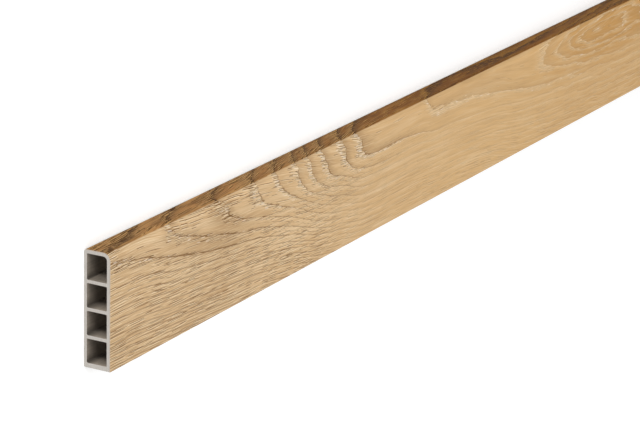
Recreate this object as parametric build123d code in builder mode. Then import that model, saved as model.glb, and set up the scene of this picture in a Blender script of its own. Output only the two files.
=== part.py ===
# Hollow skirting board: a grey extruded profile with a row of chambers along its whole length, and a thin
# printed oak film that covers its face, its rounded top front edge and its top edge.
#
# The board lies on its back. X runs along the length, Y from the bottom edge up to the top edge and Z from
# the back out to the face. The origin is at the middle of the back. All sizes are in millimetres.

import os

from build123d import *

# Overall size
board_length = 2000.0
board_height = 60.0  # bottom edge to top edge
board_thickness = 15.0  # back to face, film included

# Printed film
film_thickness = 0.4
film_setback = 1.0  # from the back to where the film ends on the top edge

# Walls of the extruded profile
face_wall = 1.6
top_wall = 1.6
back_wall = 1.6
bottom_wall = 2.4
rib_thickness = 1.7

# Chambers, equal but for the top one, which is taller by the extra
chamber_count = 4
top_chamber_extra = 0.9

# Rounded edges
nose_radius = 4.0  # top front edge, on the outside of the film
back_edge_radius = 0.8  # the profile's two back edges
chamber_radius = 0.6  # inside corners of the chambers

# Outline of the section: Y of the bottom and top edges, Z of the back and the face
bottom_edge = -board_height / 2
top_edge = board_height / 2
back_face = 0.0
front_face = board_thickness

# The profile stops one film thickness short of the top edge and the face
profile_top = top_edge - film_thickness
profile_front = front_face - film_thickness
profile_nose_radius = nose_radius - film_thickness

# The chambers fill what the walls and ribs leave
chamber_back = back_face + back_wall
chamber_front = profile_front - face_wall
chamber_floor = bottom_edge + bottom_wall
chamber_ceiling = profile_top - top_wall
ribs_in_all = (chamber_count - 1) * rib_thickness
open_height = chamber_ceiling - chamber_floor - ribs_in_all
chamber_height = (open_height - top_chamber_extra) / chamber_count
chamber_pitch = chamber_height + rib_thickness

# The top chamber's front corner runs round inside the nose, so that the wall keeps its thickness there
chamber_nose_radius = max(profile_nose_radius - face_wall, chamber_radius)

near_end = Plane.YZ.offset(-board_length / 2)

# Extruded profile, cut square at both ends
with BuildPart() as hollow_profile:
    with BuildSketch(near_end):
        with BuildLine():
            FilletPolyline(
                (bottom_edge, back_face),
                (bottom_edge, profile_front),
                (profile_top, profile_front),
                (profile_top, back_face),
                radius=[back_edge_radius, 0, profile_nose_radius, back_edge_radius],
                close=True,
            )
        make_face()
        for chamber in range(chamber_count):
            is_top_chamber = chamber == chamber_count - 1
            floor = chamber_floor + chamber * chamber_pitch
            ceiling = chamber_ceiling if is_top_chamber else floor + chamber_height
            front_corner_radius = chamber_nose_radius if is_top_chamber else chamber_radius
            with BuildLine():
                FilletPolyline(
                    (floor, chamber_back),
                    (floor, chamber_front),
                    (ceiling, chamber_front),
                    (ceiling, chamber_back),
                    radius=[chamber_radius, chamber_radius, front_corner_radius, chamber_radius],
                    close=True,
                )
            make_face(mode=Mode.SUBTRACT)
    extrude(amount=board_length)
hollow_profile.part.label = "hollow_profile"

# Film, wrapped from the foot of the face over the nose and along the top edge
with BuildPart() as oak_film:
    with BuildSketch(near_end):
        with BuildLine():
            wrap = FilletPolyline(
                (bottom_edge, front_face),
                (top_edge, front_face),
                (top_edge, back_face + film_setback),
                radius=[nose_radius],
            )
            offset(wrap, amount=film_thickness, side=Side.RIGHT)
        make_face()
    extrude(amount=board_length)
oak_film.part.label = "oak_film"

os.makedirs("parts", exist_ok=True)
export_step(hollow_profile.part, "parts/hollow_profile.step")
export_step(oak_film.part, "parts/oak_film.step")
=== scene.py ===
import math
from types import SimpleNamespace

import bmesh
import bpy
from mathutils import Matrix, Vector


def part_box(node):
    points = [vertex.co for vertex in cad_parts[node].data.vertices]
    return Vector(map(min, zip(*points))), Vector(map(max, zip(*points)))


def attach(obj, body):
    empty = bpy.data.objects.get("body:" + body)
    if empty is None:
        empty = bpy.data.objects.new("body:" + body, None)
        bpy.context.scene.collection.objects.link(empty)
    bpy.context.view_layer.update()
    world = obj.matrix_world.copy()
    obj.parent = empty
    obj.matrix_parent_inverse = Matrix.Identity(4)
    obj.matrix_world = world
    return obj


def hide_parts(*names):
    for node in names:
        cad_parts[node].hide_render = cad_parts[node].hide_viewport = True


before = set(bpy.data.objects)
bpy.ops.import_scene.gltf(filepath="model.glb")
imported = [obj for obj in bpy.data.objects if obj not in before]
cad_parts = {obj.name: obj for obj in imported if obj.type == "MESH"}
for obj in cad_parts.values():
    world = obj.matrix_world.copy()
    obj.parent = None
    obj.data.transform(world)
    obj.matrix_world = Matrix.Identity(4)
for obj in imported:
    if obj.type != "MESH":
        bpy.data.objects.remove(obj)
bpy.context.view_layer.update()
mm = 0.001
sharpAngle = 30  # degrees, past which shading breaks at an edge


# small helpers for meshes and node trees

def ofType(geom, kind):
    return [g for g in geom if isinstance(g, kind)]


def showPiece(bm, name, node, materials):
    mesh = bpy.data.meshes.new(name)
    bm.to_mesh(mesh)
    bm.free()
    for material in materials:
        mesh.materials.append(material)
    piece = bpy.data.objects.new(name, mesh)
    bpy.context.scene.collection.objects.link(piece)
    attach(piece, "root")
    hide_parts(node)
    print(f"{name}: {len(mesh.polygons)} faces, stands for {node}")
    return piece


def sharpen(piece, degrees):
    # smooth shading that stops at real edges
    mesh = piece.data
    bm = bmesh.new()
    bm.from_mesh(mesh)
    for edge in bm.edges:
        edge.smooth = edge.calc_face_angle(0) < math.radians(degrees)
    bm.to_mesh(mesh)
    bm.free()


def newMaterial(name, roughness, specular):
    material = bpy.data.materials.new(name)
    material.use_nodes = True
    shader = material.node_tree.nodes["Principled BSDF"]
    shader.inputs["Roughness"].default_value = roughness
    shader.inputs["Specular IOR Level"].default_value = specular
    return material, material.node_tree, shader


def addNode(tree, kind, inputs, **settings):
    node = tree.nodes.new("ShaderNode" + kind)
    for name, value in settings.items():
        setattr(node, name, value)
    for name, value in inputs.items():
        if isinstance(value, bpy.types.NodeSocket):
            tree.links.new(value, node.inputs[name])
        else:
            node.inputs[name].default_value = value
    return node


def calc(tree, operation, *values):
    return addNode(tree, "Math", dict(enumerate(values)), operation=operation).outputs[0]


def times(tree, *amounts):
    product = amounts[0]
    for amount in amounts[1:]:
        product = calc(tree, "MULTIPLY", product, amount)
    return product


def ramp(tree, value, start, end, low=0.0, high=1.0, smooth=True):
    spread = {"Value": value, "From Min": start, "From Max": end, "To Min": low, "To Max": high}
    way = "SMOOTHSTEP" if smooth else "LINEAR"
    return addNode(tree, "MapRange", spread, interpolation_type=way).outputs[0]


def between(tree, amount, low, high, smooth=True):
    # low where the amount is 0, high where it is 1
    return ramp(tree, amount, 0, 1, low, high, smooth)


def curve(tree, value, *stretches):
    # a smooth line through the points of each stretch, one stretch after the other
    level = None
    for points in stretches:
        start, end = points[0][0], points[-1][0]
        most = max(height for _, height in points)
        node = addNode(tree, "FloatCurve", {"Value": ramp(tree, value, start, end, smooth=False)})
        line = node.mapping.curves[0].points
        for along, height in points[1:-1]:
            line.new((along - start) / (end - start), height / most)
        line[0].location = (0, points[0][1] / most)
        line[len(line) - 1].location = (1, points[-1][1] / most)
        node.mapping.update()
        already = 0 if level is None else points[0][1]
        height = calc(tree, "MULTIPLY_ADD", node.outputs[0], most, -already)
        level = height if level is None else calc(tree, "ADD", level, height)
    return level


def steps(tree, value, first, spans):
    # a level that changes by so much over each span
    level = None
    for low, high, change in spans:
        step = ramp(tree, value, low, high, 0.0, change)
        level = step if level is None else calc(tree, "ADD", level, step)
    return calc(tree, "ADD", level, first)


def vector(tree, x, y, z):
    return addNode(tree, "CombineXYZ", {"X": x, "Y": y, "Z": z}).outputs[0]


def objectPlace(tree):
    return addNode(tree, "TexCoord", {}).outputs["Object"]


def noise(tree, place, detail=2.0, kind="2D"):
    spread = {"Vector": place, "Scale": 1.0, "Detail": detail, "Roughness": 0.5}
    return addNode(tree, "TexNoise", spread, noise_dimensions=kind).outputs[0]


def grains(tree, scale, detail):
    # noise through the whole piece, with so many grains in a metre each way
    place = addNode(tree, "Mapping", {"Vector": objectPlace(tree), "Scale": scale}).outputs[0]
    return noise(tree, place, detail, "3D")


def mixColour(tree, amount, under, over, blend="MIX"):
    node = addNode(tree, "Mix", {}, data_type="RGBA", blend_type=blend)
    for socket, value in ((node.inputs[0], amount), (node.inputs[6], under), (node.inputs[7], over)):
        if isinstance(value, bpy.types.NodeSocket):
            tree.links.new(value, socket)
        else:
            socket.default_value = (*value, 1) if isinstance(value, tuple) else value
    return node.outputs[2]


def shaded(tree, colour, tone):
    return mixColour(tree, 1.0, colour, vector(tree, tone, tone, tone), "MULTIPLY")


def addBump(tree, shader, strength, distance, height):
    bump = addNode(tree, "Bump", {"Strength": strength, "Distance": distance, "Height": height})
    tree.links.new(bump.outputs[0], shader.inputs["Normal"])


# the printed oak, in millimetres from the near end and from the foot of the face
oak = {
    "halfLength": 1000.0,
    "halfHeight": 30.0,
    "faceTop": 56.0,  # the nose starts here
    "noseRadius": 4.0,
    "noseBack": 11.0,  # and ends this far out from the back
    "darkFrom": 60.4,  # the top edge turns dark here, on the nose: partly a darker print, partly painted shade
    "darkSpan": (60.1, 60.8),
    "noseShade": 0.84,  # after a slight painted shade, which evens out the lamps' light on the nose
    "roughness": 0.52,
    "poreRoughness": 0.7,
    "specular": 0.03,
    "poreBump": (0.3, 0.1 * mm),  # strength and depth
    "seedSteps": (37.7, 11.3),  # how far apart the patterns are taken, along and up

    "nearTan": (0.635, 0.430, 0.236),
    "farTan": (0.645, 0.412, 0.190),
    "goldenTan": (0.53, 0.29, 0.095),
    "ringBrown": (0.37, 0.225, 0.105),
    "pale": (0.80, 0.64, 0.42),
    "paleFleck": (0.82, 0.71, 0.58),
    "poreBrown": (0.19, 0.094, 0.033),
    # the top edge: partly a darker print, partly painted shade, and painted lighter towards the near end
    # where more light falls
    "topNear": (0.350, 0.170, 0.054),
    "topFar": (0.175, 0.060, 0.004),
    "topDark": (0.050, 0.020, 0.005),
    "topPale": (0.46, 0.275, 0.105),
    "topPaleFar": (0.33, 0.160, 0.025),

    # points: along, height of the heart line that the figure opens from
    "nearHeart": [
        (0, 60.4), (250, 60.4), (340, 60.4), (400, 57.5), (460, 51.5), (560, 51), (640, 53), (700, 56),
    ],
    "farHeart": [
        (700, 56), (800, 60), (900, 50), (1000, 38), (1100, 31), (1200, 34), (1300, 47), (1400, 57),
        (1500, 61), (1600, 50), (1700, 44), (1800, 50), (1900, 58), (2000, 60),
    ],
    # points: along, rings gained on the heart line
    "nearRings": [
        (0, 0.02), (18, 0.1), (30, 0.25), (44, 0.65), (54, 1.0), (66, 1.25), (80, 1.55), (98, 2.0),
        (118, 2.5), (138, 3.0), (150, 3.5), (160, 4.0), (170, 4.5), (179, 5.0), (192, 6.0), (207, 7.0),
        (218, 7.6), (228, 8.0), (244, 9.0), (247, 9.12), (253, 9.33), (263, 9.5), (280, 9.58),
        (300, 9.62), (318, 9.74), (327, 10.0), (331, 10.09), (338, 10.14), (352, 10.17), (370, 10.19),
        (420, 10.25), (450, 10.38), (470, 10.5), (500, 10.75),
        (540, 11.3), (580, 12.0), (640, 12.6), (700, 12.8),
    ],
    "farRings": [
        (700, 12.8), (760, 12.2), (830, 9.7), (880, 8.7), (980, 8.2), (1060, 8.8), (1130, 11.2),
        (1180, 13.2), (1240, 14.2), (1400, 14.4), (1480, 12.7), (1560, 9.2), (1640, 7.8), (1760, 7.6),
        (1850, 9.4), (1920, 11.8), (2000, 12.8),
    ],
    # middle along, middle up, half length, half height, rings gained
    "swirls": [
        (545, 51, 55, 9, 3.4), (960, 46, 60, 9, 2.6), (1330, 50, 70, 10, 3.2), (1700, 46, 64, 10, 2.8),
    ],
    "ringArea": 314.0,  # square millimetres from one ring line to the next
    "alongRate": 0.0012,  # square of the fewest rings in a millimetre
    "openingSpan": (6, 28),  # from the heart line
    "topLean": 0.03,  # of the grain, along the top edge
    "topGrain": 0.8,  # and its scale there

    # level at the near end, then each change: from, to, by how much
    "opening": (0.5, [(20, 55, 0.5), (95, 140, -0.6)]),  # how soon rings turn away from the heart line
    "topShift": (0.5, [(110, 170, 0.6)]),  # how far rings lean over the top edge
    "grainDrift": (0.0, [(360, 620, 12), (820, 1040, -9), (1250, 1450, 10), (1500, 1700, -11)]),
    "ragged": (0.4, [(110, 160, 0.6), (300, 430, -0.8), (1000, 1120, 0.6), (1420, 1600, -0.5)]),
    "golden": (0.0, [(420, 560, 1.0), (720, 860, -0.7), (1250, 1400, 0.5), (1600, 1800, -0.5)]),
    "boldness": (1.0, [(165, 270, -0.7), (1000, 1120, 0.55), (1420, 1600, -0.4)]),  # of lines and pores
    "openFrom": (0.48, [(245, 275, 0.3), (420, 480, -0.3)]),  # share of a ring before it opens
    "arcs": (0.15, [(150, 220, 0.55), (260, 340, -0.45), (900, 1000, 0.2), (1500, 1600, -0.2)]),
    "paleFlecks": (0.25, [
        (110, 180, 0.75), (250, 310, -0.4), (312, 330, -0.5), (900, 1000, 0.6), (1500, 1600, -0.4),
    ]),

    # patterns: length, height, seed and sometimes detail
    "slowWave": (70, 11, 3.0, 3.0),
    "raggedWaves": [((10, 0.9, 8.0), 0.16), ((4.5, 2.2, 9.0, 1.0), 0.1)],  # with rings at full raggedness
    "goldenWave": (24, 5, 6.0),
    "grainWave": (40, 8, 21.0, 1.0),
    "broadStreaks": [((110, 9, 1.0, 3.0), 0.2), ((34, 2.4, 2.0, 3.0), 0.26)],  # with strength
    "topBlotches": (20, 4, 14.0, 3.0),
    "lineBreaks": (20, 1.6, 5.0),
    "lineDots": (4, 2.5, 13.0),
    "halfBreaks": (18, 1.3, 7.0),
    "topBreaks": (5, 1.6, 15.0),
    "threads": (13, 0.7, 11.0),
    "topPores": (22, 6, 33.0),
    # strokes: length and width of a cell, thickness, seed
    "paleFleckStroke": (4.5, 1.1, 0.55, 29.0),
    "pores": [  # stroke, share above and in the lower rings, share further on and at the near end
        ((18, 0.8, 0.31, 17.0), (0.8, 1.3), (1.0, 1.2)),
        ((8, 0.8, 0.36, 41.0), (1.0, 0.6), (1.0, 0.6)),
    ],
    # bands along each ring line: millimetres before and past it
    "poreBand": (4.5, 2.0),
    "nearBand": (9, 4),
    "topBand": (10, 4),
    "topPoreBand": (3.5, 2.5),

    # ramps: from, to, level before and level after
    "nearEnd": (100, 150, 1.0, 0.0),  # the near end's close figure gives way to arcs
    "ringsBelow": (110, 190, 1.0, 0.0),
    "belowRing": (0.1, -0.6),
    "belowHeart": (10, 28),
    "grainLean": (10, 42, -3.2, -0.96),  # millimetres that one ring leans the grain
    "grainWaveHeight": (12, 34, 2.8, 1.8),
    "boldLater": (22, 46, 0.0, 60.0),  # further up, boldness changes later
    "boldHeart": (5, 14, 0.7, 0.0),
    "boldTop": (200, 380, 1.2, 0.55),
    "tanSpan": (60, 420),
    "topSpan": (0, 360),
    "topPaleSpan": (160, 400),
    "goldenUp": (22, 46, 0.35, 1.0),
    "broadFar": (250, 350, 1.0, 0.75),
    "broadBrown": (0.5, 0.75),
    "broadPale": (0.5, 0.25),
    "blotchBrown": (0.0, 0.25, 0.0, 0.45),
    "blotchPale": (0.0, -0.3, 0.0, 0.4),
    "behindLine": (0.0, 0.5, 1.0, 0.0),
    "topBehindLine": (0.0, 0.6, 0.2, 0.0),
    "nearBandBrown": (60, 100, 0.3, 0.6),
    "strokeTaper": (0.25, 0.5, 1.0, 0.0),  # from the middle of a cell
    "strokeEdge": (0.3, 0.6, 1.0, 0.0),
    "lineBroken": (0.34, 0.48),
    "lineDotted": (8, 20, 2.0, 0.5),
    "halfLine": (0.25, 0.5, 1.0, 0.0),
    "halfBroken": (0.42, 0.55),
    "plainHeart": (4, 10, 0.85, 0.0),
    "lineBold": (0.2, 1.0, 0.08, 1.0),
    "lineStays": (300, 380, 1.0, 0.2),
    "topLine": (0.8, 2.4, 1.0, 0.0),
    "topBroken": (0.36, 0.54, 0.0, 0.75),
    "threadBrown": (0.0, 0.3, 0.0, 0.6),
    "threadPale": (0.0, -0.3, 0.0, 0.95),
    "sparse": (14, 40, 0.03, 0.25),
    "dense": (12, 28, 0.9, 0.32),
    "heartPores": (3, 11, 0.5, 0.0),
    "heartPoresFrom": (52, 66),
    "heartPoresTo": (125, 145, 1.0, 0.0),
    "topPoreShare": (-0.1, 0.2, 0.1, 0.5),
    "paleFleckWild": (0.2, 0.9, 0.0, 0.8),
    "paleFleckHeart": (12, 26, 1.0, 0.0),

    # pairs: level above and level in the lower rings, or further on and at the near end
    "lowerBehind": (1.0, 0.3),
    "lowerPale": (1.0, 0.5),
    "lowerLine": (0.85, 0.5),
    "lowerStays": (0.6, 0.1),
    "lowerFibre": (0.45, 1.0),
    "lowerLit": (0.55, 0.95),
    "nearPale": (0.3, 0.05),
    "nearLineEnd": (0.85, 1.1),  # millimetres past the ring line

    "slowRings": 0.45,
    "goldenRings": 1.3,
    "openTo": 0.98,
    "bandCore": 0.3,  # share of a band at full strength
    "topBandBrown": 0.3,
    "lineCore": 0.25,  # millimetres
    "lineWhole": 0.08,  # less broken at the near end
    "lineDotFloor": 0.85,
    "threadShift": 0.28,  # millimetres from a thread's dark side to its pale one
    "farLit": 0.95,
    "poreStrength": 0.85,
    "paleFleckStrength": 0.5,
}


def unrolled(tree, p):
    # millimetres along the board and up the film, over the nose and back along the top edge
    x, y, z = addNode(tree, "SeparateXYZ", {"Vector": objectPlace(tree)}).outputs
    along = calc(tree, "MULTIPLY_ADD", x, 1 / mm, p["halfLength"])
    height = calc(tree, "MULTIPLY_ADD", y, 1 / mm, p["halfHeight"])
    depth = calc(tree, "MULTIPLY", z, 1 / mm)
    rise = calc(tree, "MAXIMUM", calc(tree, "SUBTRACT", height, p["faceTop"]), 0)
    run = calc(tree, "MAXIMUM", calc(tree, "SUBTRACT", depth, p["noseBack"]), 0)
    turned = calc(tree, "MULTIPLY", calc(tree, "ARCTAN2", rise, run), p["noseRadius"])
    face = calc(tree, "ADD", calc(tree, "MINIMUM", height, p["faceTop"]), turned)
    back = calc(tree, "MAXIMUM", calc(tree, "SUBTRACT", p["noseBack"], depth), 0)
    return along, calc(tree, "ADD", face, back)


# the wood's own helpers: wood holds the tree, the values above and what is already worked out

def spotOn(wood, up, length, height, seed):
    stepAlong, stepUp = wood.p["seedSteps"]
    x = calc(wood.tree, "MULTIPLY_ADD", wood.along, 1 / length, stepAlong * seed)
    y = calc(wood.tree, "MULTIPLY_ADD", up, 1 / height, stepUp * seed)
    return vector(wood.tree, x, y, 0)


def patches(wood, length, height, seed, detail=2.0):
    spot = spotOn(wood, wood.up, length, height, seed)
    return calc(wood.tree, "SUBTRACT", noise(wood.tree, spot, detail), 0.5)


def streaks(wood, length, width, seed, detail=2.0, shift=0.0):
    grain = calc(wood.tree, "ADD", wood.grain, shift)
    return noise(wood.tree, spotOn(wood, grain, length, width, seed), detail)


def grooves(wood, share, length, width, thick, seed):
    # strokes along the grain, in this share of the cells: the upper side, for the dark pore and its painted
    # shadow, and the lower one, for a painted highlight
    tree = wood.tree
    spot = spotOn(wood, wood.grain, length, width, seed)
    cells = addNode(tree, "TexVoronoi", {"Vector": spot, "Scale": 1.0, "Randomness": 1.0},
                    voronoi_dimensions="2D").outputs
    away = addNode(tree, "VectorMath", {0: spot, 1: cells["Position"]}, operation="SUBTRACT").outputs[0]
    aside, upward, _ = addNode(tree, "SeparateXYZ", {"Vector": away}).outputs
    down = times(tree, upward, width / thick)
    short = ramp(tree, calc(tree, "ABSOLUTE", aside), *wood.p["strokeTaper"])
    chance = addNode(tree, "SeparateColor", {"Color": cells["Color"]}).outputs[0]
    stroke = times(tree, short, calc(tree, "LESS_THAN", chance, share))
    sides = []
    for middle in (0.0, 1.0):
        off = calc(tree, "ABSOLUTE", calc(tree, "SUBTRACT", down, middle))
        sides.append(times(tree, ramp(tree, off, *wood.p["strokeEdge"]), stroke))
    return sides


def beside(wood, before, past):
    # a band along each ring line, so many millimetres wide on either side of it
    core = wood.p["bandCore"]
    ahead = ramp(wood.tree, wood.beforeLine, before * core, before, 1.0, 0.0)
    behind = ramp(wood.tree, wood.pastLine, past * core, past, 1.0, 0.0)
    return calc(wood.tree, "MAXIMUM", ahead, behind)


def tint(wood, colour, over, *amounts):
    return mixColour(wood.tree, times(wood.tree, *amounts), colour, over)


def growRings(wood):
    # what is gained along the heart line, less what is lost away from it; whole numbers are ring lines
    p, tree = wood.p, wood.tree
    overTop = calc(tree, "MAXIMUM", calc(tree, "SUBTRACT", wood.up, p["darkFrom"]), 0)
    lean = times(tree, overTop, steps(tree, wood.along, *p["topShift"]))
    leaned = calc(tree, "SUBTRACT", wood.along, lean)
    wood.gained = curve(tree, leaned, p["nearRings"], p["farRings"])
    offHeart = calc(tree, "SUBTRACT", wood.up, curve(tree, leaned, p["nearHeart"], p["farHeart"]))
    squared = times(tree, offHeart, offHeart)
    wood.fromHeart = calc(tree, "ABSOLUTE", offHeart)
    steep = ramp(tree, wood.fromHeart, *p["openingSpan"], steps(tree, wood.along, *p["opening"]))
    ring = calc(tree, "SUBTRACT", wood.gained, times(tree, squared, steep, 1 / p["ringArea"]))
    for middle, height, halfLength, halfHeight, rings in p["swirls"]:
        across = calc(tree, "DIVIDE", calc(tree, "SUBTRACT", leaned, middle), halfLength)
        upward = calc(tree, "DIVIDE", calc(tree, "SUBTRACT", wood.up, height), halfHeight)
        spread = calc(tree, "MULTIPLY_ADD", upward, upward, times(tree, across, across))
        swell = calc(tree, "EXPONENT", times(tree, spread, -1))
        ring = calc(tree, "MULTIPLY_ADD", swell, rings, ring)

    # the lines waver, more so where they are ragged and where the wood is golden
    ragged = steps(tree, wood.along, *p["ragged"])
    wood.golden = steps(tree, wood.along, *p["golden"])
    ring = calc(tree, "MULTIPLY_ADD", patches(wood, *p["slowWave"]), p["slowRings"], ring)
    for wave, rings in p["raggedWaves"]:
        ring = calc(tree, "MULTIPLY_ADD", patches(wood, *wave), times(tree, ragged, rings), ring)
    goldenRings = times(tree, wood.golden, p["goldenRings"])
    wood.ring = calc(tree, "MULTIPLY_ADD", patches(wood, *p["goldenWave"]), goldenRings, ring)

    # how far through its ring a point is, and millimetres from the lines on either side
    wood.phase = calc(tree, "FRACT", wood.ring)
    rate = calc(tree, "MULTIPLY_ADD", squared, (2 / p["ringArea"]) ** 2, p["alongRate"])
    wood.perMillimetre = calc(tree, "SQRT", rate)
    wood.pastLine = calc(tree, "DIVIDE", wood.phase, wood.perMillimetre)
    wood.beforeLine = calc(tree, "DIVIDE", calc(tree, "SUBTRACT", 1, wood.phase), wood.perMillimetre)


def layGrain(wood):
    # the grain leans with the rings and is mirrored at the heart line
    p, tree = wood.p, wood.tree
    lean = ramp(tree, wood.fromHeart, *p["grainLean"])
    grain = calc(tree, "MULTIPLY_ADD", wood.gained, lean, wood.fromHeart)
    grain = calc(tree, "SUBTRACT", grain, steps(tree, wood.along, *p["grainDrift"]))
    grain = calc(tree, "SUBTRACT", grain, times(tree, wood.along, p["topLean"], wood.isTop))
    waveHeight = ramp(tree, wood.fromHeart, *p["grainWaveHeight"])
    grain = calc(tree, "MULTIPLY_ADD", patches(wood, *p["grainWave"]), waveHeight, grain)
    wood.grain = times(tree, grain, between(tree, wood.isTop, 1.0, p["topGrain"], smooth=False))


def markZones(wood):
    p, tree = wood.p, wood.tree
    wood.isNear = ramp(tree, wood.along, *p["nearEnd"])

    # the lower part of the face, with straight close grain
    byRing = ramp(tree, wood.along, *p["ringsBelow"])
    belowHeart = ramp(tree, wood.fromHeart, *p["belowHeart"])
    wood.lower = between(tree, byRing, belowHeart, ramp(tree, wood.ring, *p["belowRing"]), smooth=False)

    # how strongly lines, fibre and pores are printed
    later = calc(tree, "SUBTRACT", wood.along, ramp(tree, wood.up, *p["boldLater"]))
    byHeart = times(tree, ramp(tree, wood.fromHeart, *p["boldHeart"]), wood.isNear, wood.isFace)
    bold = calc(tree, "ADD", steps(tree, later, *p["boldness"]), byHeart)
    boldTop = times(tree, ramp(tree, wood.along, *p["boldTop"]), wood.isTop)
    wood.bold = calc(tree, "MULTIPLY_ADD", bold, wood.isFace, boldTop)

    # the open part of each ring, where the pores crowd
    opened = ramp(tree, wood.phase, steps(tree, wood.along, *p["openFrom"]), p["openTo"])
    wood.wild = between(tree, wood.isNear, opened, beside(wood, *p["poreBand"]), smooth=False)


def groundTone(wood):
    p, tree = wood.p, wood.tree
    topPale = mixColour(tree, ramp(tree, wood.along, *p["topPaleSpan"]), p["topPale"], p["topPaleFar"])
    wood.brown = mixColour(tree, wood.isTop, p["ringBrown"], p["topDark"])
    wood.pale = mixColour(tree, wood.isTop, p["pale"], topPale)
    wood.poreBrown = mixColour(tree, wood.isTop, p["poreBrown"], p["topDark"])

    colour = mixColour(tree, ramp(tree, wood.along, *p["tanSpan"]), p["nearTan"], p["farTan"])
    colour = tint(wood, colour, p["goldenTan"], wood.golden, ramp(tree, wood.up, *p["goldenUp"]))
    # the top edge's colour: partly darker print, partly painted shade, with painted light towards the near
    # end
    topColour = mixColour(tree, ramp(tree, wood.along, *p["topSpan"]), p["topNear"], p["topFar"])
    colour = mixColour(tree, wood.isTop, colour, topColour)
    fainter = ramp(tree, wood.along, *p["broadFar"])
    for pattern, strength in p["broadStreaks"]:
        broad = streaks(wood, *pattern)
        amount = times(tree, fainter, strength)
        colour = tint(wood, colour, wood.brown, ramp(tree, broad, *p["broadBrown"]), amount)
        colour = tint(wood, colour, wood.pale, ramp(tree, broad, *p["broadPale"]), amount)

    blotch = times(tree, patches(wood, *p["topBlotches"]), wood.isTop)
    colour = tint(wood, colour, wood.brown, ramp(tree, blotch, *p["blotchBrown"]))
    colour = tint(wood, colour, wood.brown, beside(wood, *p["topBand"]), wood.isTop, p["topBandBrown"])
    return tint(wood, colour, wood.pale, ramp(tree, blotch, *p["blotchPale"]))


def tintRings(wood, colour):
    # each ring is brown and close behind its line, and ends pale and open
    p, tree = wood.p, wood.tree
    calmer = between(tree, wood.lower, *p["lowerBehind"])
    behind = times(tree, ramp(tree, wood.phase, *p["behindLine"]), calmer)
    colour = tint(wood, colour, wood.brown, behind, steps(tree, wood.along, *p["arcs"]))
    opened = times(tree, wood.wild, between(tree, wood.lower, *p["lowerPale"]))
    colour = tint(wood, colour, wood.pale, opened, between(tree, wood.isNear, *p["nearPale"]))
    nearBand = times(tree, beside(wood, *p["nearBand"]), wood.isNear, wood.isFace, calmer)
    colour = tint(wood, colour, wood.brown, nearBand, ramp(tree, wood.along, *p["nearBandBrown"]))
    return tint(wood, colour, wood.brown, ramp(tree, wood.phase, *p["topBehindLine"]), wood.isTop)


def ringLines(wood):
    # the thin dark line at the start of each ring, broken and dotted
    p, tree = wood.p, wood.tree
    whole = calc(tree, "MULTIPLY_ADD", wood.isNear, p["lineWhole"], streaks(wood, *p["lineBreaks"]))
    dots = ramp(tree, wood.fromHeart, *p["lineDotted"])
    dotted = calc(tree, "MULTIPLY_ADD", patches(wood, *p["lineDots"]), dots, p["lineDotFloor"])
    lineEnd = between(tree, wood.isNear, *p["nearLineEnd"])
    line = ramp(tree, wood.pastLine, p["lineCore"], lineEnd, 1.0, 0.0)
    line = times(tree, line, ramp(tree, whole, *p["lineBroken"]), ramp(tree, dotted, 0, 1))

    # a thinner one half way through each of the lower rings
    halfway = calc(tree, "FRACT", calc(tree, "ADD", wood.ring, 0.5))
    halfLine = ramp(tree, calc(tree, "DIVIDE", halfway, wood.perMillimetre), *p["halfLine"])
    halfBroken = ramp(tree, streaks(wood, *p["halfBreaks"]), *p["halfBroken"])
    line = calc(tree, "MAXIMUM", line, times(tree, halfLine, halfBroken, wood.lower))

    # fainter by the heart line at the near end, where the print is calm, and low down
    plain = times(tree, wood.isNear, ramp(tree, wood.fromHeart, *p["plainHeart"]))
    stays = times(tree, between(tree, wood.lower, *p["lowerStays"]), ramp(tree, wood.along, *p["lineStays"]))
    strength = calc(tree, "MAXIMUM", ramp(tree, wood.bold, *p["lineBold"]), stays)
    line = times(tree, line, calc(tree, "SUBTRACT", 1, plain), strength)
    line = times(tree, line, between(tree, wood.lower, *p["lowerLine"]), wood.isFace)

    topBroken = ramp(tree, streaks(wood, *p["topBreaks"]), *p["topBroken"])
    topLine = times(tree, ramp(tree, wood.pastLine, *p["topLine"]), topBroken, wood.isTop)
    return calc(tree, "MAXIMUM", line, topLine)


def addFibre(wood, colour):
    # threads drawn as a painted emboss: painted shade on one side and a painted highlight on the other
    p, tree = wood.p, wood.tree
    paleSide = streaks(wood, *p["threads"], shift=p["threadShift"])
    threads = calc(tree, "SUBTRACT", streaks(wood, *p["threads"]), paleSide)
    strength = calc(tree, "MAXIMUM", between(tree, wood.lower, *p["lowerFibre"]), wood.wild)
    strength = times(tree, wood.bold, strength)
    colour = tint(wood, colour, wood.brown, ramp(tree, threads, *p["threadBrown"]), strength)
    return tint(wood, colour, wood.pale, ramp(tree, threads, *p["threadPale"]), strength)


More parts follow.
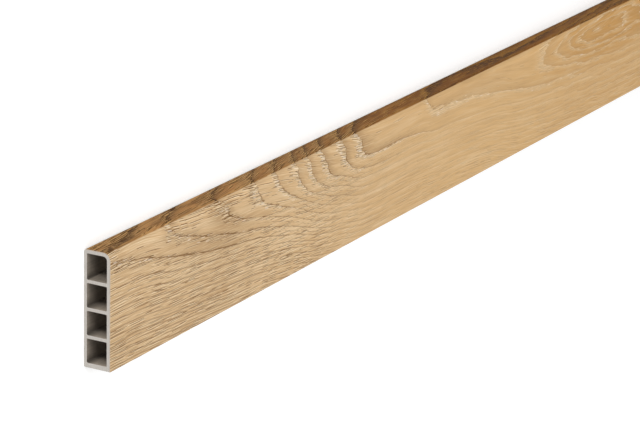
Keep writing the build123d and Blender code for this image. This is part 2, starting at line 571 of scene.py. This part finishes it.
def addPores(wood, colour):
    # pores crowd where the ring is open; returns the colour and the pores
    p, tree = wood.p, wood.tree
    byHeart = times(tree, ramp(tree, wood.fromHeart, *p["heartPores"]),
                    ramp(tree, wood.along, *p["heartPoresFrom"]), ramp(tree, wood.along, *p["heartPoresTo"]))
    sparse = calc(tree, "MAXIMUM", ramp(tree, wood.fromHeart, *p["sparse"]), byHeart)
    crowd = between(tree, wood.wild, sparse, ramp(tree, wood.fromHeart, *p["dense"]), smooth=False)
    onTop = ramp(tree, patches(wood, *p["topPores"]), *p["topPoreShare"])
    onTop = calc(tree, "MAXIMUM", onTop, beside(wood, *p["topPoreBand"]))
    crowd = calc(tree, "MULTIPLY_ADD", crowd, wood.isFace, times(tree, onTop, wood.isTop))
    # lit: how strong the painted highlight on each pore's lower side is
    lit = between(tree, wood.lower, *p["lowerLit"])
    lit = between(tree, wood.isNear, p["farLit"], lit, smooth=False)

    pores = None
    for stroke, lowerShare, nearShare in p["pores"]:
        share = times(tree, crowd, between(tree, wood.lower, *lowerShare))
        share = times(tree, share, between(tree, wood.isNear, *nearShare))
        dark, pale = grooves(wood, share, *stroke)
        dark = times(tree, dark, wood.bold)
        # each pore's pale side is a painted highlight, its dark side the pore's brown with painted shadow
        colour = tint(wood, colour, wood.pale, pale, wood.bold, lit)
        colour = tint(wood, colour, wood.poreBrown, dark, p["poreStrength"])
        pores = dark if pores is None else calc(tree, "MAXIMUM", pores, dark)

    # pale flecks by the heart line
    paleFleckShare = times(tree, ramp(tree, wood.wild, *p["paleFleckWild"]), ramp(tree, wood.fromHeart, *p["paleFleckHeart"]),
                   steps(tree, wood.along, *p["paleFlecks"]), wood.isFace)
    paleFleck = grooves(wood, paleFleckShare, *p["paleFleckStroke"])[0]
    return tint(wood, colour, p["paleFleck"], paleFleck, p["paleFleckStrength"]), pores


def makeOak(p):
    material, tree, shader = newMaterial("oakPrint", p["roughness"], p["specular"])
    along, up = unrolled(tree, p)
    isTop = ramp(tree, up, *p["darkSpan"])
    isFace = calc(tree, "SUBTRACT", 1, isTop)
    wood = SimpleNamespace(p=p, tree=tree, along=along, up=up, isTop=isTop, isFace=isFace)
    growRings(wood)
    layGrain(wood)
    markZones(wood)
    colour = tintRings(wood, groundTone(wood))
    colour, pores = addPores(wood, addFibre(wood, colour))
    colour = mixColour(tree, ringLines(wood), colour, wood.poreBrown)
    # painted shade on the nose, against the lamps' light there
    onNose = times(tree, ramp(tree, up, p["faceTop"], p["darkFrom"]), isFace)
    colour = shaded(tree, colour, between(tree, onNose, 1.0, p["noseShade"]))
    tree.links.new(colour, shader.inputs["Base Color"])
    roughness = between(tree, pores, p["roughness"], p["poreRoughness"])
    tree.links.new(roughness, shader.inputs["Roughness"])
    addBump(tree, shader, *p["poreBump"], calc(tree, "SUBTRACT", 1, pores))
    print(f"oak print: {len(tree.nodes)} nodes")
    return material


# the grey plastic: outside, in the chambers and where the saw cut it
grey = {
    "outside": (0.43, 0.405, 0.37),
    "roughness": 0.55,
    "specular": 0.3,
    "dieLines": (2.0, 900.0, 900.0),  # in a metre: long along the board, fine across it
    "dieTone": (0.3, 0.7, 0.9, 1.08),
    "dieBump": (0.2, 0.05 * mm),

    "chamber": (0.215, 0.182, 0.148),
    "halfLength": 1000.0,  # millimetres, like the next
    "lowestFloor": -27.6,
    "chamberPitch": 14.1,
    "chamberBack": 1.6,
    "cornerShade": (0, 5, 0.25, 1.0),  # painted shade in the corner between the back and each rib
    "cornerFades": 0.25,  # less and less, further in
    "endDust": (0, 4, 1.3, 1.0),  # painted light near the sawn ends, where light comes into the chambers
    "deepLightPainted": (6, 22, 1.0, 2.2),  # and further in, painted light where too little reaches
    "floorAbove": (0.3, 0.9, 1.0, 0.0),  # and on the floors, painted light near the ends that fades further in
    "floorLightFades": (1, 14, 1.2, 0.62),

    "sawn": (0.475, 0.443, 0.405),
    "sawnRoughness": 0.75,
    "sawnSpecular": 0.25,
    "toothMarks": (0.0, 260.0, 3200.0),  # in a metre
    "toothTone": (0.3, 0.7, 0.93, 1.06),
    "toothBump": (0.4, 0.08 * mm),
    "dust": (0.60, 0.57, 0.53),
    "dustSpecks": (2500.0, 2500.0, 2500.0),
    "dustShare": (0.55, 0.75, 0.0, 0.6),
}


def makeExtruded(p, name, colour):
    # returns the colour as well, so that more can be laid over it
    material, tree, shader = newMaterial(name, p["roughness"], p["specular"])
    dieLines = grains(tree, p["dieLines"], 3.0)
    colour = shaded(tree, colour, ramp(tree, dieLines, *p["dieTone"]))
    tree.links.new(colour, shader.inputs["Base Color"])
    addBump(tree, shader, *p["dieBump"], dieLines)
    return material, shader, colour


def makeOutside(p):
    return makeExtruded(p, "greyPlastic", p["outside"])[0]


def makeChamber(p):
    material, shader, colour = makeExtruded(p, "chamberPlastic", p["chamber"])
    tree = material.node_tree
    x, y, z = addNode(tree, "SeparateXYZ", {"Vector": objectPlace(tree)}).outputs
    height = calc(tree, "MULTIPLY_ADD", y, 1 / mm, -p["lowestFloor"])
    aboveRib = calc(tree, "WRAP", height, p["chamberPitch"], 0)
    fromBack = calc(tree, "MULTIPLY_ADD", z, 1 / mm, -p["chamberBack"])
    squared = calc(tree, "MULTIPLY_ADD", aboveRib, aboveRib, times(tree, fromBack, fromBack))
    fromEnd = calc(tree, "MULTIPLY_ADD", calc(tree, "ABSOLUTE", x), -1 / mm, p["halfLength"])
    fromCorner = calc(tree, "MULTIPLY_ADD", fromEnd, p["cornerFades"], calc(tree, "SQRT", squared))
    # painted shade in the corners, painted light near the sawn ends, further in and on the floors near the
    # ends
    onFloor = ramp(tree, aboveRib, *p["floorAbove"])
    shade = times(tree, ramp(tree, fromCorner, *p["cornerShade"], smooth=False),
                  ramp(tree, fromEnd, *p["endDust"]), ramp(tree, fromEnd, *p["deepLightPainted"]),
                  between(tree, onFloor, 1.0, ramp(tree, fromEnd, *p["floorLightFades"]), smooth=False))
    tree.links.new(shaded(tree, colour, shade), shader.inputs["Base Color"])
    return material


def makeSawn(p):
    material, tree, shader = newMaterial("sawnPlastic", p["sawnRoughness"], p["sawnSpecular"])
    marks = grains(tree, p["toothMarks"], 2.0)
    specks = grains(tree, p["dustSpecks"], 3.0)
    colour = shaded(tree, p["sawn"], ramp(tree, marks, *p["toothTone"]))
    colour = mixColour(tree, ramp(tree, specks, *p["dustShare"]), colour, p["dust"])
    tree.links.new(colour, shader.inputs["Base Color"])
    addBump(tree, shader, *p["toothBump"], marks)
    return material


# the extruded board, sizes in millimetres
profile = {
    "wall": 1.6,
    "bottomWall": 2.4,
    "rib": 1.7,
    "chambers": 4,
    "topChamberExtra": 0.9,
    "noseRadius": 3.6,
    "backRadius": 0.8,
    "chamberRadius": 0.6,
    "chamberNoseRadius": 2.0,
    "roundSteps": 8,
    "sawnEdge": 0.12,  # the saw leaves the end's edges this much off sharp
    # the map for baking, which is 1 wide and 1 high
    "mapLength": 2000,  # of the board
    "mapHeight": 60,
    "mapGap": 1.5,  # between the outside and each chamber
    "mapMargin": 0.01,
    "mapEnd": 0.46,  # width of each end
    "mapEndsAt": (0.02, 0.52),
    "mapWallsAt": 0.14,  # the walls start at this height
}


def roundedLoop(bm, x, low, high, radii, segments):
    # a rectangle across the board, each corner with its own radius; returns its corners and edges in order
    corners = [(low[0], low[1]), (low[0], high[1]), (high[0], high[1]), (high[0], low[1])]
    verts = [bm.verts.new((x, y * mm, z * mm)) for y, z in corners]
    face = bm.faces.new(verts)
    before = set(bm.faces) - {face}
    for vert, radius in zip(verts, radii):
        if radius > 0:
            bmesh.ops.bevel(bm, geom=[vert], offset=radius * mm, offset_type="OFFSET", affect="VERTICES",
                            segments=segments, profile=0.5, material=-1)
    face = next(f for f in bm.faces if f not in before)
    verts, edges = list(face.verts), list(face.edges)
    bmesh.ops.delete(bm, geom=[face], context="FACES_ONLY")
    return verts, edges


def profileOutlines(p, low, high):
    # the outside, then each chamber: low and high corner, radii, and which way the saw's edge moves it
    yield low, high, (p["backRadius"], 0, p["noseRadius"], p["backRadius"]), 1
    floor = low[0] + p["bottomWall"]
    ceiling = high[0] - p["wall"]
    opened = ceiling - floor - (p["chambers"] - 1) * p["rib"]
    height = (opened - p["topChamberExtra"]) / p["chambers"]
    for i in range(p["chambers"]):
        isTop = i == p["chambers"] - 1
        top = ceiling if isTop else floor + height
        noseRadius = p["chamberNoseRadius"] if isTop else p["chamberRadius"]
        radii = (p["chamberRadius"], p["chamberRadius"], noseRadius, p["chamberRadius"])
        yield (floor, low[1] + p["wall"]), (top, high[1] - p["wall"]), radii, -1
        floor = top + p["rib"]


def buildProfile(p):
    low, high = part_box("hollow_profile")
    lowSide, highSide = (low.y / mm, low.z / mm), (high.y / mm, high.z / mm)
    edge = p["sawnEdge"]
    stations = ((low.x, edge), (low.x + edge * mm, 0), (high.x - edge * mm, 0), (high.x, edge))
    bm = bmesh.new()
    ends = [], []
    spots = {}  # millimetres round the section, number in the loop, end of the loop, in a chamber or not
    start = 0.0
    for lowCorner, highCorner, radii, way in profileOutlines(p, lowSide, highSide):
        loops = []
        for x, moved in stations:
            moved *= way
            verts, edges = roundedLoop(bm, x, [c + moved for c in lowCorner], [c - moved for c in highCorner],
                                       [r and r - moved for r in radii], p["roundSteps"])
            loops.append(edges)
            places = [start]
            for a, b in zip(verts, verts[1:] + verts[:1]):
                places.append(places[-1] + (b.co - a.co).length / mm)
            spots.update({v: (places[i], i, places[-1], way < 0) for i, v in enumerate(verts)})
        start = places[-1] + p["mapGap"]
        for near, far in zip(loops, loops[1:]):
            bmesh.ops.bridge_loops(bm, edges=near + far)
        ends[0].extend(loops[0])
        ends[1].extend(loops[-1])
    for edges in ends:
        bmesh.ops.triangle_fill(bm, use_beauty=True, edges=edges)
    bmesh.ops.recalc_face_normals(bm, faces=bm.faces)
    layProfile(bm, p, spots, start)
    return bm


def layProfile(bm, p, spots, total):
    # materials, and a map for baking: the two ends side by side, and over them the walls, rolled out
    uv = bm.loops.layers.uv.new("OFBake")
    margin, wallsAt = p["mapMargin"], p["mapWallsAt"]
    for face in bm.faces:
        isEnd = abs(face.normal.x) > 0.5
        inChamber = all(spots[v][3] for v in face.verts)
        face.material_index = 1 if isEnd else 2 if inChamber else 0
        face.smooth = not isEnd
        numbers = [spots[v][1] for v in face.verts]
        closes = max(numbers) - min(numbers) > 1
        for loop in face.loops:
            x, y, z = loop.vert.co / mm
            if isEnd:
                endAt = p["mapEndsAt"][0 if x < 0 else 1]
                across = (y / p["mapHeight"] + 0.5) * p["mapEnd"]
                loop[uv].uv = (across + endAt, z / p["mapHeight"] * p["mapEnd"] + margin)
            else:
                place, number, last, _ = spots[loop.vert]
                if closes and number == 0:
                    place = last
                across = (1 - 2 * margin) * (x / p["mapLength"] + 0.5)
                loop[uv].uv = (margin + across, wallsAt + (1 - margin - wallsAt) * place / total)


# the printed film, sizes in millimetres
film = {
    "thickness": 0.4,
    "noseRadius": 4.0,
    "noseSteps": 16,
    # the plain plastic under the print
    "core": (0.50, 0.435, 0.37),
    "coreRoughness": 0.6,
    "coreSpecular": 0.2,
    "coreGrains": (900.0, 900.0, 900.0),  # in a metre
    "coreTone": (0.3, 0.7, 0.92, 1.06),
    # the map for baking, which is 1 wide and 1 high
    "mapRows": 5,  # the print is laid out in so many lengths
    "mapGap": 0.004,  # left free round each
    "mapCore": 0.03,  # height of the strip for what can't be seen
    "mapEndsAt": (0.01, 0.51),
    "mapEnd": 0.48,  # width of each end
    "mapEndRow": (0.1, 0.25),  # start and height of the ends, as shares of the strip
    "mapBackRow": (0.45, 0.5),  # and of the glued side
    "mapRim": 0.1,  # of that, for the foot and as much for the back edge
}


def makeFilmCore(p):
    # the film's cut edges and the side that is glued down
    material, tree, shader = newMaterial("filmCore", p["coreRoughness"], p["coreSpecular"])
    colour = shaded(tree, p["core"], ramp(tree, grains(tree, p["coreGrains"], 2.0), *p["coreTone"]))
    tree.links.new(colour, shader.inputs["Base Color"])
    return material


def buildFilm(p):
    low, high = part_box("oak_film")
    bm = bmesh.new()
    corners = ((low.x, low.y, high.z), (low.x, high.y, high.z), (low.x, high.y, low.z))
    wrap = [bm.verts.new(corner) for corner in corners]
    strip = [bm.edges.new(pair) for pair in zip(wrap, wrap[1:])]
    grown = bmesh.ops.extrude_edge_only(bm, edges=strip)["geom"]
    bmesh.ops.translate(bm, vec=(high.x - low.x, 0, 0), verts=ofType(grown, bmesh.types.BMVert))
    nose = [e for e in bm.edges if len(e.link_faces) == 2]
    bmesh.ops.bevel(bm, geom=nose, offset=p["noseRadius"] * mm, offset_type="OFFSET", affect="EDGES",
                    segments=p["noseSteps"], profile=0.5, material=-1)
    bm.normal_update()
    bmesh.ops.reverse_faces(bm, faces=[f for f in bm.faces if f.normal.y + f.normal.z < 0])
    bmesh.ops.solidify(bm, geom=bm.faces, thickness=p["thickness"] * mm)
    rowLength = (high.x - low.x) / p["mapRows"]
    for i in range(1, p["mapRows"]):
        bmesh.ops.bisect_plane(bm, geom=[*bm.verts, *bm.edges, *bm.faces],
                               plane_co=(low.x + i * rowLength, 0, 0), plane_no=(1, 0, 0))
    bmesh.ops.recalc_face_normals(bm, faces=bm.faces)
    layFilm(bm, p, low, high, rowLength)
    return bm


def rolledOut(p, co, low, high):
    # how far up the film a point lies, as a share of its width, and how deep, as a share of its thickness
    radius = p["noseRadius"] * mm
    rise = max(co.y - (high.y - radius), 0)
    run = max(co.z - (high.z - radius), 0)
    back = max(high.z - radius - co.z, 0)
    turned = math.atan2(rise, run) * radius if rise or run else 0
    width = high.y - radius - low.y + math.pi / 2 * radius + high.z - radius - low.z
    deep = radius - (math.hypot(rise, run) if rise and run else max(rise, run))
    return (min(co.y, high.y - radius) - low.y + turned + back) / width, deep / (p["thickness"] * mm)


def layFilm(bm, p, low, high, rowLength):
    # materials, and a map for baking: the print in rows one above the other, under them what can't be seen
    uv = bm.loops.layers.uv.new("OFBake")
    gap, core, rim = p["mapGap"], p["mapCore"], p["mapRim"]
    rowHeight = (1 - core) / p["mapRows"]
    endStart, endHeight = p["mapEndRow"]
    backStart, backHeight = p["mapBackRow"]
    hair = p["thickness"] * mm / 4
    for face in bm.faces:
        middle = face.calc_center_median()
        isEnd = abs(face.normal.x) > 0.9
        isPrint = not isEnd and face.normal.y + face.normal.z > 0.5
        isFoot = middle.y < low.y + hair
        isBack = middle.z < low.z + hair
        row = min(int((middle.x - low.x) / rowLength), p["mapRows"] - 1)
        face.material_index = 0 if isPrint else 1
        face.smooth = not isEnd
        for loop in face.loops:
            co = loop.vert.co
            up, deep = rolledOut(p, co, low, high)
            if isPrint:
                across = (co.x - low.x) / rowLength - row
                rowUp = gap + (rowHeight - 2 * gap) * up
                loop[uv].uv = gap + (1 - 2 * gap) * across, core + row * rowHeight + rowUp
            elif isEnd:
                endAt = p["mapEndsAt"][0 if co.x < 0 else 1]
                loop[uv].uv = endAt + p["mapEnd"] * up, core * (endStart + endHeight * deep)
            else:
                across = (co.x - low.x) / (high.x - low.x)
                rowUp = rim * deep if isFoot else 1 - rim * deep if isBack else rim + (1 - 2 * rim) * up
                loop[uv].uv = gap + (1 - 2 * gap) * across, core * (backStart + backHeight * rowUp)


greys = [makeOutside(grey), makeSawn(grey), makeChamber(grey)]
prints = [makeOak(oak), makeFilmCore(film)]
board = showPiece(buildProfile(profile), "hollowProfile", "hollow_profile", greys)
wrapper = showPiece(buildFilm(film), "oakFilm", "oak_film", prints)
for piece in (board, wrapper):
    sharpen(piece, sharpAngle)


# the photo's camera, solved from the board's own edges
view = {
    "place": (-2.2638, 0.5345, 0.8328),
    "turn": (-20.0955, -60.4199, 2.6556),  # degrees about X, Y and Z
    "lens": 187.61,
    "sensor": 36,
    "clipEnd": 100,
}


def placeCamera(p):
    camera = bpy.data.objects.new("camera", bpy.data.cameras.new("camera"))
    bpy.context.scene.collection.objects.link(camera)
    camera.location = p["place"]
    camera.rotation_euler = [math.radians(angle) for angle in p["turn"]]
    camera.data.sensor_width = p["sensor"]
    camera.data.lens = p["lens"]
    camera.data.clip_end = p["clipEnd"]
    bpy.context.scene.camera = camera
    print("camera placed")


# white studio: open sky, two soft lamps and a pale floor
studio = {
    "white": (1, 1, 1, 1),
    "sky": 0.6,
    "lamps": [  # name, place, size, power
        ("faceLamp", (-2.0, 0.2, 3.2), 2.5, 50),
        ("topLamp", (-2.75, 2.6, 0.45), 0.9, 52),
    ],
    "aim": (-0.8, 0, 0),
    "floorHalf": 8,
    "floorTone": (0.82, 0.82, 0.82, 1),
    "floorRoughness": 0.9,
    "floorLift": 0.3,
}


def seenDirectly(tree):
    rays = addNode(tree, "LightPath", {}).outputs
    seen = calc(tree, "ADD", rays["Is Camera Ray"], rays["Is Glossy Ray"])
    return calc(tree, "MINIMUM", calc(tree, "ADD", seen, rays["Is Transmission Ray"]), 1)


def buildSky(p):
    world = bpy.data.worlds.new("studio")
    bpy.context.scene.world = world
    world.use_nodes = True
    tree = world.node_tree
    sky = tree.nodes["Background"]
    sky.inputs["Color"].default_value = p["white"]
    strength = between(tree, seenDirectly(tree), p["sky"], 1.0, smooth=False)
    tree.links.new(strength, sky.inputs["Strength"])


def hangLamps(p):
    for name, place, size, power in p["lamps"]:
        lamp = bpy.data.objects.new(name, bpy.data.lights.new(name, "AREA"))
        bpy.context.scene.collection.objects.link(lamp)
        lamp.data.size = size
        lamp.data.energy = power
        lamp.location = place
        lamp.rotation_mode = "QUATERNION"
        lamp.rotation_quaternion = (Vector(p["aim"]) - lamp.location).to_track_quat("-Z", "Y")


def layFloor(p):
    bm = bmesh.new()
    bmesh.ops.create_grid(bm, x_segments=1, y_segments=1, size=p["floorHalf"])
    mesh = bpy.data.meshes.new("floor")
    bm.to_mesh(mesh)
    bm.free()
    floor = bpy.data.objects.new("floor", mesh)
    bpy.context.scene.collection.objects.link(floor)
    material, tree, shader = newMaterial("floorWhite", p["floorRoughness"], 0.0)
    mesh.materials.append(material)
    shader.inputs["Base Color"].default_value = p["floorTone"]
    shader.inputs["Emission Color"].default_value = p["white"]
    lift = calc(tree, "MULTIPLY", seenDirectly(tree), p["floorLift"])
    tree.links.new(lift, shader.inputs["Emission Strength"])


placeCamera(view)
buildSky(studio)
hangLamps(studio)
layFloor(studio)
bpy.context.scene.view_settings.view_transform = "Standard"
print("studio lit")
